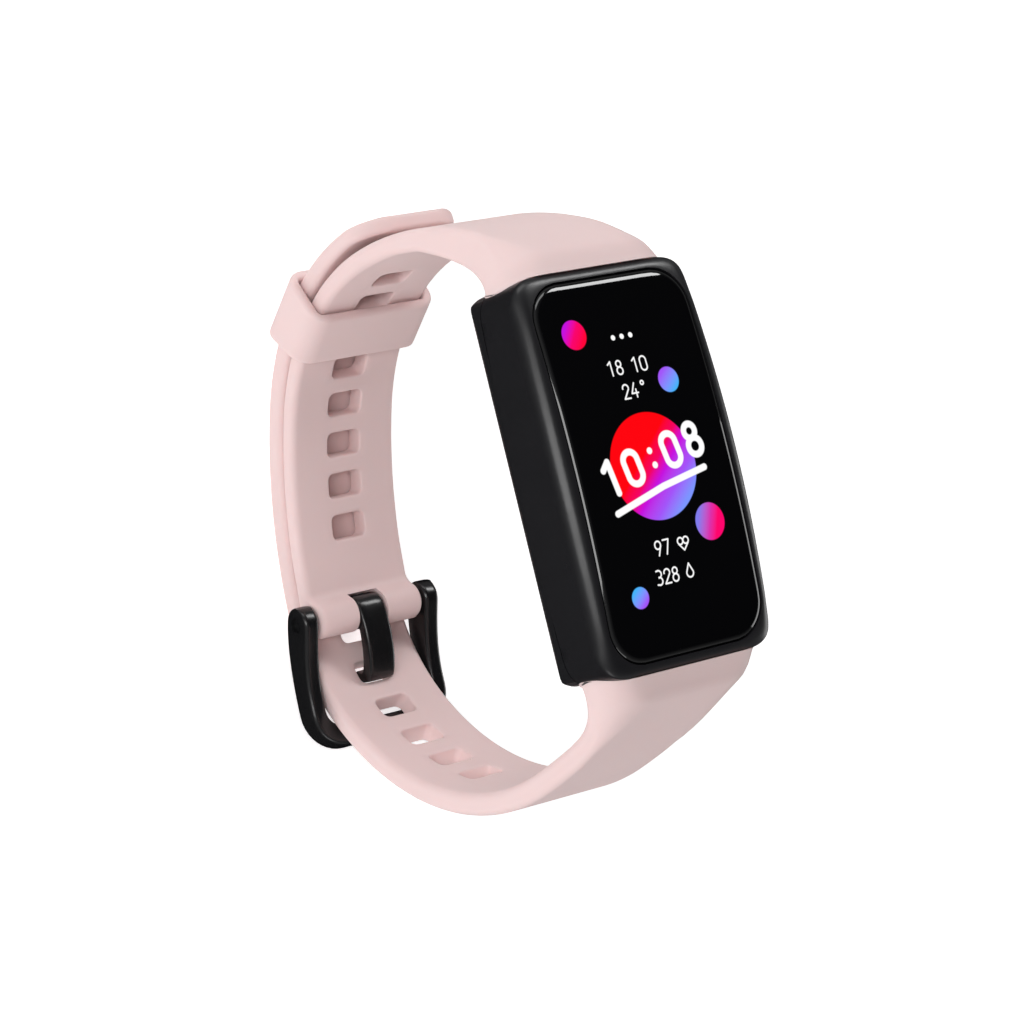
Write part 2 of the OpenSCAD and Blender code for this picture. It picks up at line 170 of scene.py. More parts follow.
def moulded(name, c, rough=0.45, grain=9000, depth=0.000012, tone=0.08, spec=0.5, metal=0.0):
    """Moulded or painted part: fine grain, slightly uneven tone and gloss."""
    m = Nodes(name)
    p = m.coord()
    fine = m.noise(p, grain, 2.0)
    soft = m.noise(p, 160, 3.0)
    m.set(Base_Color=m.mix(soft, shade(c, 1 - tone), shade(c, 1 + tone)),
          Roughness=m.span(m.noise(p, 420, 4.0), rough - 0.05, rough + 0.05),
          Metallic=metal, Specular_IOR_Level=spec)
    m.bump(fine, 0.25, depth)
    return m.mat


def silicone(name, c):
    m = Nodes(name)
    p = m.coord()
    soft = m.noise(p, 90, 2.0)
    fine = m.noise(p, 14000, 2.0)
    m.set(Base_Color=m.mix(soft, shade(c, 0.985), shade(c, 1.015)),
          Roughness=m.span(m.noise(p, 600, 3.0), 0.5, 0.6), Specular_IOR_Level=0.3,
          Subsurface_Weight=0.12, Subsurface_Scale=0.0012, Subsurface_Radius=(1.0, 0.45, 0.35),
          Sheen_Weight=0.08, Sheen_Roughness=0.5)
    m.bump(fine, 0.2, 0.000008)
    return m.mat


def brushed(name, c, rough=0.28, scale=(9000, 9000, 9000), wear=0.1):
    m = Nodes(name)
    p = m.vmath("MULTIPLY", m.coord(), scale)
    streak = m.noise(p, 1.0, 3.0)
    m.set(Base_Color=m.mix(streak, shade(c, 1 - wear), shade(c, 1 + wear)), Metallic=1.0,
          Roughness=m.span(streak, rough - 0.08, rough + 0.12))
    m.bump(streak, 0.15, 0.000004)
    return m.mat


def board_mat(name, c):
    """Solder mask over copper tracks."""
    m = Nodes(name)
    p = m.coord()
    cell = m.new("ShaderNodeTexVoronoi", feature="DISTANCE_TO_EDGE")
    m.put(cell, "Vector", p)
    m.put(cell, "Scale", 900.0)
    track = m.ramp(cell.outputs["Distance"], [(0.0, (1, 1, 1)), (0.06, (1, 1, 1)), (0.09, (0, 0, 0))])
    fac = m.math("MULTIPLY", track, 0.6)
    m.set(Base_Color=m.mix(fac, c, shade(c, 2.4)), Roughness=m.span(m.noise(p, 2500), 0.25, 0.4))
    m.bump(track, 0.4, 0.00002)
    return m.mat


def foil(name, c):
    m = Nodes(name)
    p = m.coord()
    crease_and_shade = m.noise(p, 700, 5.0, 0.6)
    # Base colour darker in the creases and lighter on the ridges: painted shade and painted highlight that
    # follow the crease relief.
    m.set(Base_Color=m.mix(crease_and_shade, shade(c, 0.85), shade(c, 1.1)), Metallic=0.9,
          Roughness=m.span(m.noise(p, 1500), 0.25, 0.45))
    m.bump(crease_and_shade, 0.4, 0.00006)
    return m.mat


def clear_resin(name, c, rough=0.12):
    m = Nodes(name)
    p = m.coord()
    core = m.noise(p, 1800, 3.0)
    m.set(Base_Color=m.mix(core, shade(c, 0.7), shade(c, 1.2)),
          Roughness=m.span(core, rough, rough + 0.08), Coat_Weight=0.6, Coat_Roughness=0.05)
    m.bump(m.noise(p, 300), 0.05, 0.00001)
    return m.mat


def sensor_glass(name):
    """Dark sensor window: two lighter ports and diode windows behind tinted glass."""
    m = Nodes(name)
    p = m.coord()
    f = None
    for x, r in ((-4.1, 1.25), (4.1, 1.25), (-0.95, 0.65), (0.95, 0.65)):
        q = m.vmath("SUBTRACT", p, (x * MM, 0, 0))
        inside = m.math("LESS_THAN", m.vmath("LENGTH", m.vmath("MULTIPLY", q, PLAN_MM)), r)
        f = inside if f is None else m.math("MAXIMUM", f, inside)
    from_middle = m.vmath("LENGTH", m.vmath("MULTIPLY", p, PLAN_MM))
    edge = m.math("GREATER_THAN", from_middle, 5.6)
    tint = m.mix(f, (0.006, 0.006, 0.008), (0.05, 0.045, 0.06))
    m.set(Base_Color=m.mix(edge, tint, (0.03, 0.03, 0.032)),
          Roughness=m.span(m.noise(p, 500), 0.04, 0.09), Coat_Weight=0.5, Coat_Roughness=0.03)
    return m.mat


def watch_glass(name):
    """Black cover glass with a plain lit dial: discs of colour, the time and a few figures."""
    m = Nodes(name)
    flat = m.vmath("MULTIPLY", m.coord(), PLAN_MM)
    white = (1, 1, 1)

    def at(cx, cy, turn=0.0, size=1.0):
        """Coordinates about a point, turned and scaled."""
        n = m.new("ShaderNodeMapping", vector_type="TEXTURE")
        m.put(n, "Vector", flat)
        m.put(n, "Location", (cx, cy, 0))
        m.put(n, "Rotation", (0, 0, rad(turn)))
        m.put(n, "Scale", (size, size, 1))
        return n.outputs[0]

    def seg(p, a, b):
        """Distance to a straight stroke."""
        ax, ay = a
        dx, dy = b[0] - ax, b[1] - ay
        q = m.vmath("SUBTRACT", p, (ax, ay, 0))
        h = m.math("MULTIPLY", m.vmath("DOT_PRODUCT", q, (dx, dy, 0)), 1 / (dx * dx + dy * dy), True)
        n = m.new("ShaderNodeVectorMath", operation="SCALE")
        n.inputs[0].default_value = (dx, dy, 0)
        m.put(n, "Scale", h)
        return m.vmath("LENGTH", m.vmath("SUBTRACT", q, n.outputs[0]))

    def oval(p, a, b, r):
        """Distance to the outline of a round-ended bar."""
        return m.math("ABSOLUTE", m.math("SUBTRACT", seg(p, a, b), r))

    def bowl(p, c, r, side):
        """Half ring: the part on the side the vector points to."""
        q = m.vmath("SUBTRACT", p, (*c, 0))
        d = m.math("ABSOLUTE", m.math("SUBTRACT", m.vmath("LENGTH", q), r))
        behind = m.math("MULTIPLY", m.vmath("DOT_PRODUCT", q, (*side, 0)), -1.0)
        return m.math("MAXIMUM", d, behind)

    def least(items):
        out = items[0]
        for d in items[1:]:
            out = m.math("MINIMUM", out, d)
        return out

    def digit(p, k):
        if k == "0":
            return [oval(p, (0, -0.22), (0, 0.22), 0.27)]
        if k == "1":
            return [seg(p, (-0.22, 0.3), (0.03, 0.49)), seg(p, (0.03, 0.49), (0.03, -0.49))]
        if k == "2":
            return [bowl(p, (0, 0.23), 0.25, (0, 1)), seg(p, (0.23, 0.14), (-0.25, -0.49)),
                    seg(p, (-0.25, -0.49), (0.27, -0.49))]
        if k == "3":
            return [bowl(p, (-0.02, 0.24), 0.24, (1, 0)), bowl(p, (-0.02, -0.24), 0.26, (1, 0)),
                    seg(p, (-0.2, 0.46), (-0.02, 0.49)), seg(p, (-0.22, -0.46), (-0.02, -0.49))]
        if k == "4":
            return [seg(p, (0.06, 0.49), (-0.28, -0.2)), seg(p, (-0.28, -0.2), (0.28, -0.2)),
                    seg(p, (0.12, 0.05), (0.12, -0.49))]
        if k == "7":
            return [seg(p, (-0.25, 0.49), (0.25, 0.49)), seg(p, (0.25, 0.49), (-0.05, -0.49))]
        if k == "8":
            return [oval(p, (0, 0.25), (0, 0.26), 0.21), oval(p, (0, -0.23), (0, -0.22), 0.25)]
        return [oval(p, (0, 0.2), (0, 0.24), 0.25), seg(p, (0.24, 0.15), (-0.02, -0.49))]

    def row(text, cx, cy, size, step):
        """Distance to a line of figures."""
        out = []
        for i, k in enumerate(text):
            if k != " ":
                out += digit(at(cx + (i - (len(text) - 1) / 2) * step, cy, 0, size), k)
        return least(out)

    def disc(cx, cy, r, turn, stops):
        """Mask and colour of a disc with a straight gradient."""
        p = at(cx, cy, turn, r)
        d = m.vmath("LENGTH", p)
        along = m.math("ADD", m.math("MULTIPLY", m.vmath("DOT_PRODUCT", p, (1, 0, 0)), 0.5), 0.5, True)
        return soft(d, 1.0, 0.05 / r), m.ramp(along, stops)

    def soft(d, edge, feather):
        """One inside the edge, zero outside."""
        n = m.new("ShaderNodeMapRange")
        m.put(n, "Value", d)
        m.put(n, "From Min", edge - feather)
        m.put(n, "From Max", edge + feather)
        m.put(n, "To Min", 1.0)
        m.put(n, "To Max", 0.0)
        return n.outputs[0]

    red, rose, mauve = (1.0, 0.0, 0.003), (0.9, 0.0, 0.12), (0.55, 0.005, 0.75)
    violet, sky, teal = (0.36, 0.09, 0.95), (0.2, 0.3, 1.0), (0.06, 0.45, 0.95)
    color = (0, 0, 0)
    for cx, cy, r, turn, stops in (
            (-6.2, 14.6, 1.6, -35, [(0.1, mauve), (0.5, (0.95, 0.0, 0.16)), (0.9, (1.0, 0.0, 0.04))]),
            (4.6, 8.2, 1.38, -50, [(0.1, violet), (0.6, sky), (0.95, teal)]),
            (-0.4, -0.45, 5.75, -48, [(0.12, red), (0.36, red), (0.5, rose), (0.62, mauve),
                                      (0.8, violet), (0.97, sky)]),
            (5.5, -7.4, 2.0, -20, [(0.1, (0.22, 0.2, 0.85)), (0.5, (0.7, 0.03, 0.42)),
                                   (0.75, (1.0, 0.0, 0.15))]),
            (-5.95, -13.6, 1.15, -50, [(0.1, teal), (0.5, sky), (0.9, violet)])):
        f, c = disc(cx, cy, r, turn, stops)
        color = m.mix(f, color, c)
    # the time: tilted figures, two colon dots and the underline
    tilt, big = 11, 3.55
    ca, sa = math.cos(rad(tilt)), math.sin(rad(tilt))
    strokes = []
    for k, along in (("1", -6.1), ("0", -3.0), ("0", 2.75), ("8", 6.05)):
        p = at(-0.25 + along * ca, 0.35 + along * sa, tilt, big)
        strokes += [m.math("MULTIPLY", d, big) for d in digit(p, k)]
    for up in (-0.75, 0.85):
        strokes.append(m.vmath("LENGTH", at(-0.3 - up * sa, 0.35 + up * ca)))
    strokes.append(seg(flat, (-6.6, -4.6), (0.3, -2.75)))
    strokes.append(seg(flat, (0.3, -2.75), (6.4, -1.65)))
    color = m.mix(soft(least(strokes), 0.36, 0.05), color, white)
    # small figures and a degree ring
    fig = 1.55
    small = [m.math("MULTIPLY", d, fig) for d in (
        row("18 10", -0.4, 10.4, fig, 1.12), row("24", -0.9, 7.75, fig, 1.15),
        row("97", -1.7, -9.0, fig, 1.15), row("328", -1.8, -12.0, fig, 1.12))]
    small += [oval(flat, (0.9, 8.4), (0.91, 8.4), 0.2)]
    # three day marks, a heart and a drop
    small += [m.math("SUBTRACT", m.vmath("LENGTH", at(x, 13.6)), 0.2) for x in (-1.2, 0.0, 1.2)]
    small += [oval(flat, (0.85, -8.75), (0.86, -8.75), 0.36),
              oval(flat, (1.62, -8.75), (1.63, -8.75), 0.36),
              seg(flat, (0.6, -9.05), (1.24, -9.75)), seg(flat, (1.88, -9.05), (1.24, -9.75))]
    small += [bowl(flat, (1.35, -12.2), 0.46, (0, -1)), seg(flat, (0.9, -12.1), (1.35, -11.2)),
              seg(flat, (1.8, -12.1), (1.35, -11.2))]
    color = m.mix(soft(least(small), 0.085, 0.035), color, white)
    smudge = m.noise(m.coord(), 60, 4.0)
    m.set(Base_Color=(0.0025, 0.0025, 0.003, 1), Roughness=m.span(smudge, 0.03, 0.06),
          Specular_IOR_Level=0.5, Emission_Color=color, Emission_Strength=1.0)
    return m.mat


def fine_foam(name, c):
    m = Nodes(name)
    p = m.coord()
    cell = m.new("ShaderNodeTexVoronoi")
    m.put(cell, "Vector", p)
    m.put(cell, "Scale", 5000.0)
    # Base colour darker in the middle of each cell, where the bump sinks: painted shade in the pores.
    m.set(Base_Color=m.mix(cell.outputs["Distance"], shade(c, 0.6), shade(c, 1.4)),
          Roughness=m.span(m.noise(p, 900), 0.8, 0.95))
    m.bump(cell.outputs["Distance"], 0.5, 0.00005)
    return m.mat


PINK = (0.80, 0.61, 0.6)
MATS = {
    "case_plastic": moulded("case_plastic", (0.012, 0.0118, 0.0135), 0.3, 11000, 0.000006, 0.08, 0.42),
    "cover_plastic": moulded("cover_plastic", (0.011, 0.011, 0.0125), 0.34, 9000, 0.000008, 0.08, 0.38),
    "display_glass": watch_glass("display_glass"),
    "sensor_glass": sensor_glass("sensor_glass"),
    "silicone": silicone("silicone", PINK),
    "insert_plastic": moulded("insert_plastic", (0.04, 0.04, 0.043), 0.5),
    "buckle_black": moulded("buckle_black", (0.008, 0.008, 0.0088), 0.24, 16000, 0.000003, 0.08, 0.42),
    "steel": brushed("steel", (0.55, 0.55, 0.57), 0.3, (600, 9000, 9000)),
    "seal_rubber": moulded("seal_rubber", (0.22, 0.04, 0.035), 0.7),
    "adhesive": moulded("adhesive", (0.05, 0.05, 0.055), 0.6, 4000),
    "display_stack": clear_resin("display_stack", (0.01, 0.01, 0.013)),
    "flex_film": clear_resin("flex_film", (0.42, 0.20, 0.04), 0.25),
    "frame_plastic": moulded("frame_plastic", (0.07, 0.07, 0.075), 0.55, 5000, 0.00003, 0.15),
    "cell_foil": foil("cell_foil", (0.60, 0.61, 0.63)),
    "foam": fine_foam("foam", (0.05, 0.05, 0.055)),
    "board": board_mat("board", (0.01, 0.10, 0.05)),
    "chip_resin": moulded("chip_resin", (0.02, 0.02, 0.022), 0.55, 8000, 0.00002),
    "contact_gold": brushed("contact_gold", (0.80, 0.56, 0.22), 0.22),
    "emitter_resin": clear_resin("emitter_resin", (0.55, 0.80, 0.45)),
    "diode_resin": clear_resin("diode_resin", (0.06, 0.04, 0.10)),
    "magnet": brushed("magnet", (0.55, 0.55, 0.57), 0.15),
    "weight": brushed("weight", (0.45, 0.38, 0.28), 0.4),
}


# ---------------------------------------------------------------- mesh helpers
def new_object(name, verts, faces, visible):
    """Mesh object from points in mm; a visible one is welded and smooth, a cutter is flat."""
    me = bpy.data.meshes.new(name)
    me.from_pydata([(x * MM, y * MM, z * MM) for x, y, z in verts], [], faces)
    bm = bmesh.new()
    bm.from_mesh(me)
    if visible:
        bmesh.ops.remove_doubles(bm, verts=bm.verts, dist=1e-6)
    bmesh.ops.recalc_face_normals(bm, faces=bm.faces)
    for f in bm.faces:
        f.smooth = visible
    bm.to_mesh(me)
    bm.free()
    ob = bpy.data.objects.new(name, me)
    scene.collection.objects.link(ob)
    return ob


def make(name, verts, faces, slot, body, replaces, sharp=50):
    """Visible piece that takes the place of CAD nodes."""
    ob = new_object(name, verts, faces, True)
    ob.data.set_sharp_from_angle(angle=rad(sharp))
    ob.data.materials.append(MATS[slot])
    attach(ob, body)
    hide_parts(*replaces)
    return ob


def grid_faces(rows, cols, ring=False, start=0):
    """Quads between closed loops; a ring also joins the last loop to the first."""
    out = []
    for j in range(rows if ring else rows - 1):
        a, b = start + j * cols, start + (j + 1) % rows * cols
        for i in range(cols):
            d = (i + 1) % cols
            out.append((a + i, a + d, b + d, b + i))
    return out


def loft(loops, ring=False, caps=False):
    """Points and faces over closed loops of equal length."""
    n = len(loops[0])
    verts = [v for loop in loops for v in loop]
    faces = grid_faces(len(loops), n, ring)
    if caps:
        faces += [tuple(range(n)), tuple((len(loops) - 1) * n + k for k in range(n))]
    return verts, faces


def cut(ob, tool):
    """Takes the tool's volume out of the object and removes the tool."""
    mod = ob.modifiers.new("cut", "BOOLEAN")
    mod.operation = "DIFFERENCE"
    mod.solver = "EXACT"
    mod.object = tool
    dg = bpy.context.evaluated_depsgraph_get()
    me = bpy.data.meshes.new_from_object(ob.evaluated_get(dg))
    ob.modifiers.clear()
    old = ob.data
    ob.data = me
    me.name = old.name
    bpy.data.meshes.remove(old)
    bpy.data.objects.remove(tool)


def prism(name, outline, lo, hi, axis):
    """Closed prism over an outline; axis says which coordinate runs from lo to hi."""
    n = len(outline)
    put = {"x": lambda u, v, w: (w, u, v), "z": lambda u, v, w: (u, v, w)}[axis]
    verts = [put(u, v, lo) for u, v in outline] + [put(u, v, hi) for u, v in outline]
    faces = [tuple(range(n)), tuple(range(2 * n - 1, n - 1, -1))]
    faces += [(i, (i + 1) % n, n + (i + 1) % n, n + i) for i in range(n)]
    return new_object(name, verts, faces, False)


def rounded(w, h, r, n=6):
    """Outline of a rectangle with round corners, n steps to a corner."""
    out = []
    for cx, cy, a0 in CORNERS:
        for k in range(n + 1):
            a = rad(a0 + 90 * k / n)
            out.append((cx * (w / 2 - r) + r * math.cos(a), cy * (h / 2 - r) + r * math.sin(a)))
    return out


# ---------------------------------------------------------------- strap geometry
# Tangent arcs along the band's outer face in the YZ plane, from the case's 6 o'clock end: radius
# and sweep. HEAD holds the heading at each joint, CEN the centres.
RUN = [(4, 56.57), (103.89, 11.33), (33.28, 66.4), (23.03, 42.36), (59.76, 22.07),
       (29.82, 57.86), (47.9, 39.4)]
HEAD, CEN = [187.0], []
pos = (-21.5, 9.8)
for r, sweep in RUN:
    h = HEAD[-1]
    c = (pos[0] - r * math.sin(rad(h)), pos[1] + r * math.cos(rad(h)))
    CEN.append(c)
    h += sweep
    HEAD.append(h)
    pos = (c[0] + r * math.sin(rad(h)), c[1] - r * math.cos(rad(h)))


def on_arc(i, a, off):
    """Point on arc i at an angle, this far inside the outer face."""
    r = RUN[i][0] - off
    return (CEN[i][0] + r * math.cos(rad(a)), CEN[i][1] + r * math.sin(rad(a)))


def find(s, off):
    """Arc and angle at length s along the line this far inside the outer face."""
    i = 0
    while i < len(RUN) - 1 and s > (RUN[i][0] - off) * rad(RUN[i][1]):
        s -= (RUN[i][0] - off) * rad(RUN[i][1])
        i += 1
    return i, HEAD[i] - 90 + s / (RUN[i][0] - off) * 180 / pi


def length_at(i, a, off):
    """Inverse of find."""
    before = sum((RUN[k][0] - off) * rad(RUN[k][1]) for k in range(i))
    return before + (RUN[i][0] - off) * rad(a - HEAD[i] + 90)


def bez(p, t):
    """Point on a cubic curve."""
    u = 1 - t
    return tuple(u ** 3 * p[0][k] + 3 * u * u * t * p[1][k] + 3 * u * t * t * p[2][k] + t ** 3 * p[3][k]
                 for k in (0, 1))


def resample(pts, fractions):
    """Points at the given fractions of a polyline's length."""
    d = [0.0]
    for a, b in zip(pts, pts[1:]):
        d.append(d[-1] + math.dist(a, b))
    out = []
    for f in fractions:
        s = f * d[-1]
        k = max(i for i in range(len(d) - 1) if d[i] <= s + 1e-9)
        out.append(mix2(pts[k], pts[k + 1], (s - d[k]) / max(1e-9, d[k + 1] - d[k])))
    return out


HALF, ROOT = 7.4, 11.3  # half width of the band, and where it meets the case
Y_ROOT, Y_BAND = 20.2, 29.2  # the taper runs between these
TAPER = [bez([(ROOT, Y_ROOT), (10.6, 23.4), (7.5, 25.0), (HALF, Y_BAND)], k / 40) for k in range(41)]


def half_at(y):
    """Half width of a strap at this distance from the middle of the case."""
    y = abs(y)
    if y >= Y_BAND:
        return HALF
    if y <= Y_ROOT:
        return ROOT
    for (x0, y0), (x1, y1) in zip(TAPER, TAPER[1:]):
        if y <= y1:
            return lerp(x0, x1, (y - y0) / (y1 - y0))
    return HALF


CASE_END = 21.5  # half the case's length
CORNER_X, CORNER_Y = 8, 17.1  # where its corner curve starts
CORNER_W, CORNER_H = 4.243, 4.4  # reach of that curve
POWER = 0.75  # its fullness; 1 would be an ellipse


def case_end(x):
    """How far the case reaches along Y at this distance from its middle line."""
    x = abs(x)
    if x <= CORNER_X:
        return CASE_END
    f = 1 - ((x - CORNER_X) / CORNER_W) ** (2 / POWER)
    return CORNER_Y + CORNER_H * max(0.0, f) ** (POWER / 2)


# Columns of the block that holds the holes; those from -2.1 to 2.1 also span the tongue slot.
BLOCK = [-3.4, -3.0, -2.55, -2.1, -1.3, -0.6, 0.0, 0.6, 1.3, 2.1, 2.55, 3.0, 3.4]
SIDE = 5  # columns from the block to the edge fillet
NF = 6    # steps in an edge fillet
HOLE = (1.5, 2.32, 0.75)  # half length, half width and corner radius of a strap hole
WARP = 4  # rows that bend to follow the end of the case


def columns(edge):
    """Positions across a flat face that reaches this far each side."""
    c = min(1.0, 0.62 * edge / 3.4)
    right = [lerp(3.4 * c, edge, k / SIDE) for k in range(1, SIDE + 1)]
    return [-x for x in right[::-1]] + [x * c for x in BLOCK] + right


NC = len(BLOCK) + 2 * SIDE


def section(hw, t, ro, ri):
    """Closed loop of (x, depth): outer face left to right, round the edge, inner face back."""
    ro = min(ro, t * 0.62)
    ri = min(ri, t * 0.49, t * 0.96 - ro)
    out = [(x, 0.0) for x in columns(hw - ro)]
    for k in range(1, NF + 1):
        a = rad(90 * k / NF)
        out.append((hw - ro + ro * math.sin(a), ro - ro * math.cos(a)))
    for k in (1, 2):
        out.append((hw, lerp(ro, t - ri, k / 3)))
    for k in range(NF, 0, -1):
        a = rad(90 * k / NF)
        out.append((hw - ri + ri * math.sin(a), t - ri + ri * math.cos(a)))
    out += [(x, t) for x in columns(hw - ri)[::-1]]
    edge = out[NC:-NC]
    out += [(-x, d) for x, d in edge[::-1]]
    return out


def build_strap(name, rows, holes, node, thin, slot_from=None):
    """Lofts a strap through its rows.

    A row is (outer point, inner point, half width, outer radius, inner radius), a hole is
    (first row, last row, row step), thin is the thickness at the holes, and slot_from is the
    row where the tongue slot starts.
    """
    loops = [section(hw, math.dist(o, i), ro, ri) for o, i, hw, ro, ri in rows]
    M = len(loops[0])
    verts = []

    def place(o, i, x, d, j):
        """Point of row j; the first rows follow the end of the case."""
        t = math.dist(o, i)
        f = d / t if t > 1e-6 else 0
        y, z = lerp(o[0], i[0], f), lerp(o[1], i[1], f)
        if j < WARP:
            side, far = (-1 if y < 0 else 1), abs(y)
            near = case_end(x) + 0.03
            if j:
                near = lerp(far, near + (far - CASE_END) * (j / WARP), 1 - j / WARP)
            y = side * near
        return (x, y, z)

    for j, (o, i, hw, ro, ri) in enumerate(rows):
        for x, d in loops[j]:
            verts.append(place(o, i, x, d, j))
    first_inner = M - (M - 2 * NC) // 2 - NC

    def outer(j, c):
        return j * M + c

    def inner(j, c):
        return j * M + first_inner + (NC - 1 - c)

    dead = set()  # cells that a hole or the slot takes out of both faces
    c0, c1 = SIDE, SIDE + len(BLOCK) - 1
    s0, s1 = c0 + 3, c0 + 9
    for j0, j1, _ in holes:
        dead |= {(j, c) for j in range(j0, j1) for c in range(c0, c1)}
    if slot_from is not None:
        dead |= {(j, c) for j in range(slot_from, len(rows) - 1) for c in range(s0, s1)}
    faces = []
    for j in range(len(rows) - 1):
        for k in range(M):
            across = k if k < NC - 1 else NC - 2 - (k - first_inner)
            if (k < NC - 1 or first_inner <= k < first_inner + NC - 1) and (j, across) in dead:
                continue
            a, b = j * M + k, j * M + (k + 1) % M
            faces.append((a, b, b + M, a + M))

    def lid(j):
        """Closes an end between its outer and inner faces."""
        for c in range(NC - 1):
            if slot_from is not None and j >= slot_from and s0 <= c < s1:
                continue
            faces.append((outer(j, c), outer(j, c + 1), inner(j, c + 1), inner(j, c)))
        right = [outer(j, NC - 1)] + [j * M + k for k in range(NC, first_inner)] + [inner(j, NC - 1)]
        left = [inner(j, 0)] + [j * M + k for k in range(first_inner + NC, M)] + [outer(j, 0)]
        faces.append(tuple(right))
        faces.append(tuple(left))

    lid(0)
    lid(len(rows) - 1)
    slot_edges = []
    if slot_from is not None:
        j = slot_from
        for c in range(s0, s1):
            faces.append((outer(j, c), outer(j, c + 1), inner(j, c + 1), inner(j, c)))
            slot_edges += [(outer(j, c), outer(j, c + 1)), (inner(j, c), inner(j, c + 1))]
        for c in (s0, s1):
            slot_edges.append((outer(slot_from, c), inner(slot_from, c)))
            for j in range(slot_from, len(rows) - 1):
                faces.append((outer(j, c), outer(j + 1, c), inner(j + 1, c), inner(j, c)))
                slot_edges += [(outer(j, c), outer(j + 1, c)), (inner(j, c), inner(j + 1, c))]

    def spot(u, x, d):
        """Point at row position u, across x, at a share d of the thickness."""
        j = max(0, min(len(rows) - 2, int(math.floor(u))))
        f = u - j
        o, i = mix2(rows[j][0], rows[j + 1][0], f), mix2(rows[j][1], rows[j + 1][1], f)
        return (x, lerp(o[0], i[0], d), lerp(o[1], i[1], d))

    def ray(dx, du, grow):
        """Share of a ray from a hole's middle that lies inside its outline grown this much."""
        half, w, r = (v + grow for v in HOLE)

        def gap(t):
            qx, qu = abs(dx * t) - (w - r), abs(du * t) - (half - r)
            return math.hypot(max(qx, 0), max(qu, 0)) + min(max(qx, qu), 0) - r

        a, b = 0.0, 1.0
        for _ in range(26):
            mid = (a + b) / 2
            if gap(mid) > 0:
                b = mid
            else:
                a = mid
        return a

    # shares of the thickness, and how far the hole's edge has opened there
    levels = [(0.0, 0.35), (0.06 / thin, 0.17), (0.17 / thin, 0.05), (0.35 / thin, 0.0),
              (1 - 0.3 / thin, 0.0), (1 - 0.14 / thin, 0.03), (1 - 0.05 / thin, 0.09), (1.0, 0.2)]
    for j0, j1, step in holes:
        jc = (j0 + j1) / 2
        edge = [(j0, c) for c in range(c0, c1)] + [(j, c1) for j in range(j0, j1)]
        edge += [(j1, c) for c in range(c1, c0, -1)] + [(j, c0) for j in range(j1, j0, -1)]
        rings = [[outer(j, c) for j, c in edge]]
        for d, grow in levels:
            loop = []
            for j, c in edge:
                dx, du = BLOCK[c - c0], (j - jc) * step
                k = ray(dx, du, grow)
                verts.append(spot(jc + du * k / step, dx * k, d))
                loop.append(len(verts) - 1)
            rings.append(loop)
        rings.append([inner(j, c) for j, c in edge])
        n = len(edge)
        for ra, rb in zip(rings, rings[1:]):
            for k in range(n):
                faces.append((ra[k], ra[(k + 1) % n], rb[(k + 1) % n], rb[k]))

    ob = make(name, verts, faces, "silicone", "band", (node,), 60)
    if slot_edges:
        # welding renumbers the points, so the slot's edges are found again by place, in microns
        want = {frozenset(tuple(round(c * 1e3) for c in verts[v]) for v in pair) for pair in slot_edges}
        bm = bmesh.new()
        bm.from_mesh(ob.data)
        key = {v: tuple(round(c * 1e6) for c in v.co) for v in bm.verts}
        pick = [e for e in bm.edges if frozenset((key[e.verts[0]], key[e.verts[1]])) in want]
        bmesh.ops.bevel(bm, geom=pick, offset=0.3 * MM, segments=3, profile=0.5, affect="EDGES",
                        clamp_overlap=True)
        for fc in bm.faces:
            fc.smooth = True
        bm.to_mesh(ob.data)
        bm.free()
    return ob


# Long strap, from the 6 o'clock end of the case round to the tip of the tail.
LT = 2.6  # thickness
STEP, LSTEP = 5 / 12, 5.7 / 14  # row steps of the short and the long strap
rows = []
n0 = 20
fr = [k / n0 for k in range(n0)]
o_path = [on_arc(0, lerp(97, 153.57, k / 20), 0) for k in range(21)]
o_path += [on_arc(1, lerp(153.57, 160.5, k / 12), 0) for k in range(1, 13)]
i_path = [bez([(-19.5, 2.9), (-23.2, 2.2), (-25.6, -0.8), (-26.9, -4.3)], k / 30) for k in range(31)]
i_path[-1] = on_arc(1, 160.5, LT)
for k, (o, i) in enumerate(zip(resample(o_path, fr), resample(i_path, fr))):
    q = k / n0
    hw = lerp(half_at(o[0]), half_at(i[0]), 0.5)
    rows.append((o, i, min(ROOT, hw), lerp(4.4, 0.8, smooth01(q * 1.15)), lerp(1.6, 0.8, q)))
tip = length_at(*find(136.5, 0), LT / 2)
to_hole = 68  # rows before the middle of the first hole
s = 43.14 - to_hole * LSTEP
j_first = len(rows)
while s < tip - 4.6:
    i, a = find(s, LT / 2)
    tt = LT - 0.75 * smooth01((s - (tip - 22)) / 20)
    o = on_arc(i, a, 0)
    hw = half_at(o[0]) if s < 30 else HALF
    rows.append((o, on_arc(i, a, tt), hw, 0.8, 0.8))
    s += LSTEP
base = s - LSTEP
for k in range(1, 15):
    ang = rad(90 * k / 14)
    s = lerp(base, tip, math.sin(ang))
    e = max(0.0, s - (tip - 4.5)) / 4.5
    hw = HALF - 4.5 * (1 - math.sqrt(max(0.0, 1 - e * e))) if k < 14 else HALF - 4.3
    i, a = find(s, LT / 2)
    tt, sq = LT - 0.75, 0.0
    if s > tip - 0.6:
        sq = 0.6 * (1 - math.sqrt(max(0.0, 1 - ((s - tip + 0.6) / 0.6) ** 2)))
    rows.append((on_arc(i, a, sq), on_arc(i, a, tt - sq), max(2.6, hw), 0.7, 0.7))
middles = [j_first + to_hole + 14 * k for k in range(6)]
holes = [(jc - 5, jc + 5, LSTEP) for jc in middles]
long_strap = build_strap("long_strap", rows, holes, "lower_strap", LT)

# Short strap, from the 12 o'clock end of the case down to the tube round the spring bar.
OUT, INN = 2.8, 5.1  # its faces, measured in from the long strap's outer face
MIDDLE = (OUT + INN) / 2
PIN = (-7.15, -46.25)


def about(centre, r, a):
    return (centre[0] + r * math.cos(rad(a)), centre[1] + r * math.sin(rad(a)))


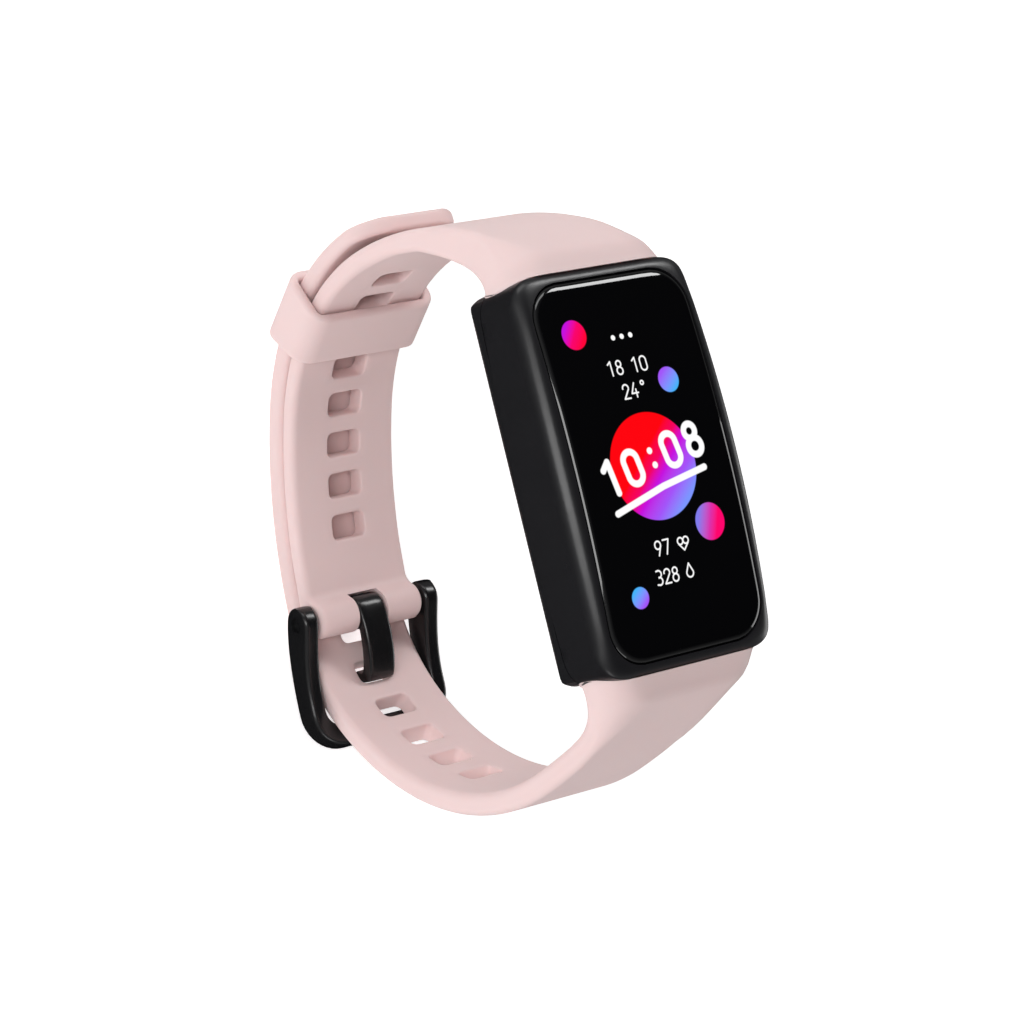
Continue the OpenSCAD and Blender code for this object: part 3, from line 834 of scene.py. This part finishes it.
rows = []
o_path = [about((21.01, 5.83), 4, lerp(83, 34, k / 16)) for k in range(17)]
o_path += [on_arc(6, lerp(392.9, 362.7, k / 24), OUT) for k in range(25)]
i_path = [bez([(19.5, 2.9), (23.6, 2.2), (26.6, -5.0), (28.8, -11.0)], k / 30) for k in range(31)]
i_path.append(on_arc(6, 362.7, INN))
n0 = 44
fr = [k / n0 for k in range(n0)]
for k, (o, i) in enumerate(zip(resample(o_path, fr), resample(i_path, fr))):
    q = k / n0
    hw = min(ROOT, lerp(half_at(o[0]), half_at(i[0]), 0.5))
    rows.append((o, i, hw, lerp(4.4, 0.8, smooth01(q * 2.4)), lerp(1.6, 0.8, smooth01(q * 2))))
v_top = length_at(6, 362.7, MIDDLE)
v_hole = 76.05 + 35  # middle of the hole nearest the case
n_up = int((v_top - v_hole) / STEP)
v = v_hole + n_up * STEP
j_first = len(rows)
v_end = length_at(3, 288, MIDDLE)
while v > v_end:
    i, a = find(v, MIDDLE)
    rows.append((on_arc(i, a, OUT), on_arc(i, a, INN), HALF, 0.75, 0.8))
    v -= STEP
_, a0 = find(v + STEP, MIDDLE)
TUBE = 2.15  # outer radius of the tube round the bar
p0, p3 = on_arc(3, a0, INN), about(PIN, TUBE, 82)
p1 = (p0[0] + 2.2 * math.sin(rad(a0)), p0[1] - 2.2 * math.cos(rad(a0)))
p2 = (p3[0] + 2.0, p3[1] - 0.28)
slot_row = None
NB = 14
for k in range(1, NB + 1):
    q = k / NB
    i_pt = bez([p0, p1, p2, p3], q)
    o_pt = on_arc(3, lerp(a0, 267.5, q), OUT)
    rows.append((o_pt, i_pt, HALF, 0.75, 0.8))
    if slot_row is None and (o_pt[0] + i_pt[0]) / 2 < -4.7:
        slot_row = len(rows) - 1
for k in range(1, 15):
    q = math.sin(rad(90 * k / 14)) * 0.97
    ai, ao = lerp(82, 180, q), lerp(267.5, 180, q)
    hw = HALF - 0.9 + 0.9 * math.sqrt(max(0, 1 - q * q))
    rows.append((about(PIN, TUBE, ao), about(PIN, TUBE, ai), hw, 0.8, 0.8))
j_last = j_first + int((v_hole + n_up * STEP - v_end) / STEP)
middles = [j_first + n_up + 12 * k for k in range(8)]
holes = [(jc - 5, jc + 5, STEP) for jc in middles if jc + 5 < j_last]
short_strap = build_strap("short_strap", rows, holes, "upper_strap", INN - OUT, slot_from=slot_row)


def box_outline(half, y0, y1):
    return [(-half, y0), (half, y0), (half, y1), (-half, y1)]


# Wells of the strap latches.
for ob, s in ((short_strap, 1), (long_strap, -1)):
    cut(ob, prism("well", box_outline(2.65, s * 22.0, s * 23.8), -3, 7.2, "z"))

# ---------------------------------------------------------------- keeper
R5 = RUN[5][0]
SLACK = 0.12  # between the loop and the straps
ro, ri = R5 + SLACK, R5 - INN - SLACK
mid_r = (ro + ri) / 2
wall, klen, edge_r = 1.25, 7.8, 0.5
inner_loop = rounded(2 * HALF + 0.3, ro - ri, 0.5, 8)
outer_loop = rounded(2 * HALF + 0.3 + 2 * wall, ro - ri + 2 * wall, 2.3, 8)
prof = []  # section of the wall: along the band in mm, through the wall from 0 to 1
for cx, cy, a0 in CORNERS:
    for k in range(6):
        a = rad(a0 + 90 * k / 5)
        prof.append((cx * (klen / 2 - edge_r) + edge_r * math.cos(a),
                     0.5 + cy * (0.5 - edge_r / wall) + edge_r / wall * math.sin(a)))
loops = []
for p, q in zip(inner_loop, outer_loop):
    ring = []
    for along, t in prof:
        x, h = mix2(p, q, t)
        a = rad(323.5) + along / 27.3
        ring.append((x, CEN[5][0] + (mid_r + h) * math.cos(a), CEN[5][1] + (mid_r + h) * math.sin(a)))
    loops.append(ring)
make("keeper_loop", *loft(loops, ring=True), "silicone", "keeper", ("keeper",), 60)


# ---------------------------------------------------------------- case
SIDE_N, CORNER_N, END_N = 14, 14, 6  # steps along a side, round a corner, along half an end


def plan_point(k):
    """Outline of a quarter of the case: bowed side, rounded corner, straight end."""
    if k <= SIDE_N:
        y = CORNER_Y * k / SIDE_N
        return (12.7 - y * y / 640, y)
    if k <= SIDE_N + CORNER_N:
        a = rad(90 * (k - SIDE_N) / CORNER_N)
        return (CORNER_X + CORNER_W * max(0.0, math.cos(a)) ** POWER,
                CORNER_Y + CORNER_H * math.sin(a) ** POWER)
    return (CORNER_X * (1 - (k - SIDE_N - CORNER_N) / END_N), CASE_END)


quarter = [plan_point(k) for k in range(SIDE_N + CORNER_N + END_N + 1)]
PLAN = quarter[:-1] + [(-x, y) for x, y in quarter[::-1]][:-1]
PLAN += [(-x, -y) for x, y in PLAN]


def arch(y, top=11.2, r=179.0):
    """Height of the arched front."""
    return top - (r - math.sqrt(r * r - y * y))


def glass_point(p, w, l, r):
    """Outline point moved straight onto a rounded rectangle."""
    ix, iy = w / 2 - r, l / 2 - r
    cx, cy = max(-ix, min(ix, p[0])), max(-iy, min(iy, p[1]))
    dx, dy = p[0] - cx, p[1] - cy
    d = math.hypot(dx, dy)
    return (cx + r * dx / d, cy + r * dy / d)


SEAM = 3.75  # where the case meets the rear cover
seat = [glass_point(p, 21.62, 40.92, 4.4) for p in PLAN]


def shoulder(p):
    """Height of the shoulder: tall on the long sides, low at the strap ends."""
    return lerp(2.1, 0.75, smooth01((abs(p[1]) - 17.5) / 3.6))


loops = [[(x * 0.996, y * 0.998, SEAM + 0.02) for x, y in PLAN],
         [(x, y, SEAM + 0.08) for x, y in PLAN]]
for f in (0.35, 0.7):
    loops.append([(x, y, lerp(SEAM + 0.08, arch(y) - shoulder((x, y)), f)) for x, y in PLAN])
for k in range(13):
    a = rad(90 * k / 12)
    ring = []
    for p, g in zip(PLAN, seat):
        x, y = mix2(p, g, 1 - math.cos(a))
        ring.append((x, y, arch(y) - shoulder(p) * (1 - math.sin(a))))
    loops.append(ring)
for drop in (0.05, 1.0):
    loops.append([(x * 0.998, y * 0.999, arch(y) - drop) for x, y in seat])
ledge = [glass_point(p, 19.4, 37.6, 3.0) for p in PLAN]
cavity = [glass_point(p, 22.2, 39.0, 4.0) for p in PLAN]
loops.append([(x, y, arch(y) - 1.02) for x, y in ledge])
loops.append([(x, y, 8.5) for x, y in ledge])
loops.append([(x, y, 8.5) for x, y in cavity])
loops.append([(x, y, SEAM + 0.06) for x, y in cavity])
case = make("case_shell", *loft(loops, ring=True), "case_plastic", "band", ("case_body",), 40)
cut(case, prism("bore", [(u, v + 6.5) for u, v in rounded(8.1, 2.3, 1.14, 8)], 10, 15, "x"))
for s in (-1, 1):
    cut(case, prism("pocket", box_outline(6.6, s * 20.2, s * 22.2), 4.9, 7.1, "z"))

# Cover glass with a rounded rim.
TOP, BACK = 11.45, 10.45
RIM = ((0.0, 0.95), (0.0, 0.62), (0.05, 0.42), (0.16, 0.27), (0.34, 0.15), (0.6, 0.06),
       (0.95, 0.015), (1.3, 0.0))  # inset of the outline and drop below the arch
loops = []
for shrink, drop in RIM:
    outline = [glass_point(p, 21.4 - 2 * shrink, 40.7 - 2 * shrink, 4.3 - shrink) for p in PLAN]
    loops.append([(x, y, arch(y, TOP) - drop) for x, y in outline])
for f in (0.85, 0.65, 0.45, 0.25, 0.08):
    loops.append([(x * f, y * f, arch(y * f, TOP)) for x, y, z in loops[len(RIM) - 1]])
verts, faces = loft(loops)
n = len(PLAN)
faces.append(tuple(range((len(loops) - 1) * n, len(loops) * n)))
back = len(verts)
for f in (1, 0.6, 0.2):
    verts += [(x * f, y * f, arch(y * f, BACK)) for x, y, z in loops[0]]
faces += [(k, (k + 1) % n, back + (k + 1) % n, back + k) for k in range(n)]
faces += grid_faces(3, n, start=back)
faces.append(tuple(range(back + 2 * n, back + 3 * n)))
make("cover_lens", verts, faces, "display_glass", "band", ("cover_glass",), 50)

# ---------------------------------------------------------------- button
# A narrow stem and a wider cap with a dished face: place along X, width, height.
BUTTON = ((10.75, 1.4, 4.0), (11.55, 1.4, 4.0), (11.55, 2.2, 8.0), (12.9, 2.2, 8.0),
          (13.08, 2.08, 7.88), (13.17, 1.8, 7.6), (13.2, 1.3, 7.1), (13.12, 0.9, 6.6))
loops = [[(x, u, v + 6.5) for u, v in rounded(h, w, w / 2 - 0.01, 8)] for x, w, h in BUTTON]
make("side_button", *loft(loops, caps=True), "case_plastic", "button", ("button_cap",), 40)

# ---------------------------------------------------------------- buckle
AC, AR = (-17.6, -23.5), 25.0  # centre and radius of the curved sheet the buckle lies on
PA = 294.7  # angle of the pin seen from that centre
LB = AR * rad(PA - 262.6)  # from the pin to the middle of the crossbar


def sheet(L, x, h):
    """Point over the curved sheet of the buckle: L from the pin, h outward."""
    a = rad(PA) - L / AR
    r = AR + h
    return (x, AC[0] + r * math.cos(a), AC[1] + r * math.sin(a))


CR, ARM = 3.2, 8.8  # bend radius and half the distance between the arms
L_arm = LB - CR
# The frame's middle line as (length, x, outward direction): one arm, its bend, then the mirror.
half_path = [(-1.98 + 1.98 * (1 - math.cos(rad(90 * k / 9))), -ARM, (0, -1)) for k in range(10)]
half_path += [(lerp(0, L_arm, k / 13), -ARM, (0, -1)) for k in range(1, 14)]
for k in range(1, 11):
    sa, ca = math.sin(rad(90 * k / 10)), math.cos(rad(90 * k / 10))
    half_path.append((L_arm + CR * sa, -ARM + CR * (1 - ca), (sa, -ca)))
path = half_path + [(LB, lerp(CR - ARM, ARM - CR, k / 12), (1, 0)) for k in range(1, 12)]
path += [(L, -x, (nl, -nx)) for L, x, (nl, nx) in half_path[::-1]]
loops = []
for L, x, (nl, nx) in path:
    turn = smooth01((L - L_arm) / CR)
    w = lerp(2.0, 2.5, turn)
    hh = 2 * math.sqrt(max(0.0, 4 - L * L)) if L < 0 else lerp(4.0, lerp(3.2, 2.6, turn), smooth01(L / 9))
    hh = max(hh, 0.35)
    outline = rounded(w, hh, min(0.55, hh * 0.45), 6)
    loops.append([sheet(L + nl * u, x + nx * u, v) for u, v in outline])
buckle = make("buckle_loop", *loft(loops, caps=True), "buckle_black", "buckle", ("buckle_frame",), 50)


def pin_circle(r, n=48):
    return [about(PIN, r, 360 * k / n) for k in range(n)]


cut(buckle, prism("bore", pin_circle(0.6), -12, 12, "x"))
for s in (-1, 1):
    cut(buckle, prism("seat", pin_circle(0.9), *sorted((s * 9.35, s * 10.2)), "x"))

# Tongue: one closed side outline, rounded toward both flanks.
side = [about(PIN, 2, lerp(170, 440, k / 30)) for k in range(31)]
side += [bez([(-6.75, -44.3), (-9.6, -43.7), (-13.7, -44.2), (-15.3, -45.7)], k / 14) for k in range(1, 15)]
side += [about(PIN, 8.3, 180 + 3 * k) for k in range(6)] + [about(PIN, 7.8, 197.5), about(PIN, 7.3, 198)]
side += [about(PIN, 7, 196 - 3 * k) for k in range(4)]
side += [bez([(-14.15, -46.95), (-13.4, -46.2), (-11.0, -45.6), (-8.9, -45.5)], k / 12) for k in range(1, 13)]


def inset(loop, e):
    """Outline drawn in by a small distance."""
    out = []
    m = len(loop)
    for k in range(m):
        a, b = loop[k - 1], loop[(k + 1) % m]
        dx, dy = b[0] - a[0], b[1] - a[1]
        d = math.hypot(dx, dy) or 1
        out.append((loop[k][0] - dy / d * e, loop[k][1] + dx / d * e))
    return out


flank = [(-1.85, 0.36), (-1.8, 0.18), (-1.66, 0.05), (-1.45, 0.0), (-0.7, 0.0)]
flank += [(-x, e) for x, e in flank[::-1]]
loops = [[(x, y, z) for y, z in inset(side, e)] for x, e in flank]
tongue = make("tongue", *loft(loops, caps=True), "buckle_black", "tongue", ("buckle_tongue",), 50)
cut(tongue, prism("bore", pin_circle(0.95), -4, 4, "x"))

# ---------------------------------------------------------------- carried-over nodes
slots = {sp["node"]: sp["material_slot"] for sp in frame["record"]["subparts"]}
for name, ob in frame["nodes"].items():
    for k in range(len(ob.material_slots)):
        ob.material_slots[k].material = MATS[slots[name]]

# ---------------------------------------------------------------- stage, light, camera
size = 3.0
me = bpy.data.meshes.new("floor")
z = cad_box[0][2] - 0.0002
me.from_pydata([(-size, -size, z), (size, -size, z), (size, size, z), (-size, size, z)], [], [(0, 1, 2, 3)])
floor = bpy.data.objects.new("floor", me)
scene.collection.objects.link(floor)
fm = Nodes("floor_paper")
fm.set(Base_Color=(0.9, 0.9, 0.9, 1), Roughness=fm.span(fm.noise(fm.coord(), 30), 0.85, 0.95),
       Specular_IOR_Level=0.1, Emission_Color=(1, 1, 1, 1), Emission_Strength=0.55)
me.materials.append(fm.mat)
floor.visible_glossy = False  # the black case shows the surround, not the floor


# Area lamps aimed at the band's middle: place, size, power.
for name, where, size, power in (
        ("key", (-0.62, 0.02, 0.5), (0.2, 0.6), 2.7),
        ("top", (0.0, 0.75, 0.5), (0.6, 0.25), 1.8),
        ("rim", (0.55, 0.52, 0.5), (0.3, 0.2), 2.4),
        ("back", (0.7, -0.15, 0.05), (0.4, 0.4), 1.1),
        ("low", (-0.3, -0.8, 0.25), (0.5, 0.3), 1.2)):
    data = bpy.data.lights.new(name, "AREA")
    data.shape = "RECTANGLE"
    data.size, data.size_y = size
    data.energy = power
    ob = bpy.data.objects.new(name, data)
    ob.location = where
    ob.rotation_euler = (Vector((0, 0, -0.02)) - Vector(where)).to_track_quat("-Z", "Y").to_euler()
    scene.collection.objects.link(ob)

# Pale surround, dark below the horizon and where the glass would mirror it.
MIRROR = (0.615, 0.035, 0.788)
world = bpy.data.worlds.new("studio")
scene.world = world
world.use_nodes = True
wt = world.node_tree
bg = next(nd for nd in wt.nodes if nd.type == "BACKGROUND")
way = wt.nodes.new("ShaderNodeTexCoord").outputs["Generated"]


def world_span(value, **limits):
    n = wt.nodes.new("ShaderNodeMapRange")
    for k, v in limits.items():
        n.inputs[k.replace("_", " ")].default_value = v
    wt.links.new(value, n.inputs["Value"])
    return n.outputs[0]


dot = wt.nodes.new("ShaderNodeVectorMath")
dot.operation = "DOT_PRODUCT"
wt.links.new(way, dot.inputs[0])
dot.inputs[1].default_value = MIRROR
up = wt.nodes.new("ShaderNodeSeparateXYZ")
wt.links.new(way, up.inputs[0])
glow = wt.nodes.new("ShaderNodeMath")
glow.operation = "MULTIPLY"
fade = world_span(dot.outputs["Value"], From_Min=0.86, From_Max=0.3, To_Min=0.0, To_Max=0.4)
rise = world_span(up.outputs["Z"], From_Min=-0.35, From_Max=0.15)
wt.links.new(fade, glow.inputs[0])
wt.links.new(rise, glow.inputs[1])
wt.links.new(glow.outputs[0], bg.inputs["Strength"])
bg.inputs["Color"].default_value = (1, 1, 1, 1)

cam = bpy.data.cameras.new("camera")
cam.lens = 128.73
cam.sensor_width = 36.0
cam.clip_start, cam.clip_end = 0.01, 20
# Rows: the camera's right, up and backward directions.
R = Matrix(((0.7708, -0.2361, 0.5917), (0.1652, 0.9711, 0.1723), (-0.6153, -0.0351, 0.7875)))
co = bpy.data.objects.new("camera", cam)
co.matrix_world = Matrix.Translation((-0.2486, -0.0151, 0.30385)) @ R.transposed().to_4x4()
scene.collection.objects.link(co)
scene.camera = co
scene.view_settings.view_transform = "Standard"
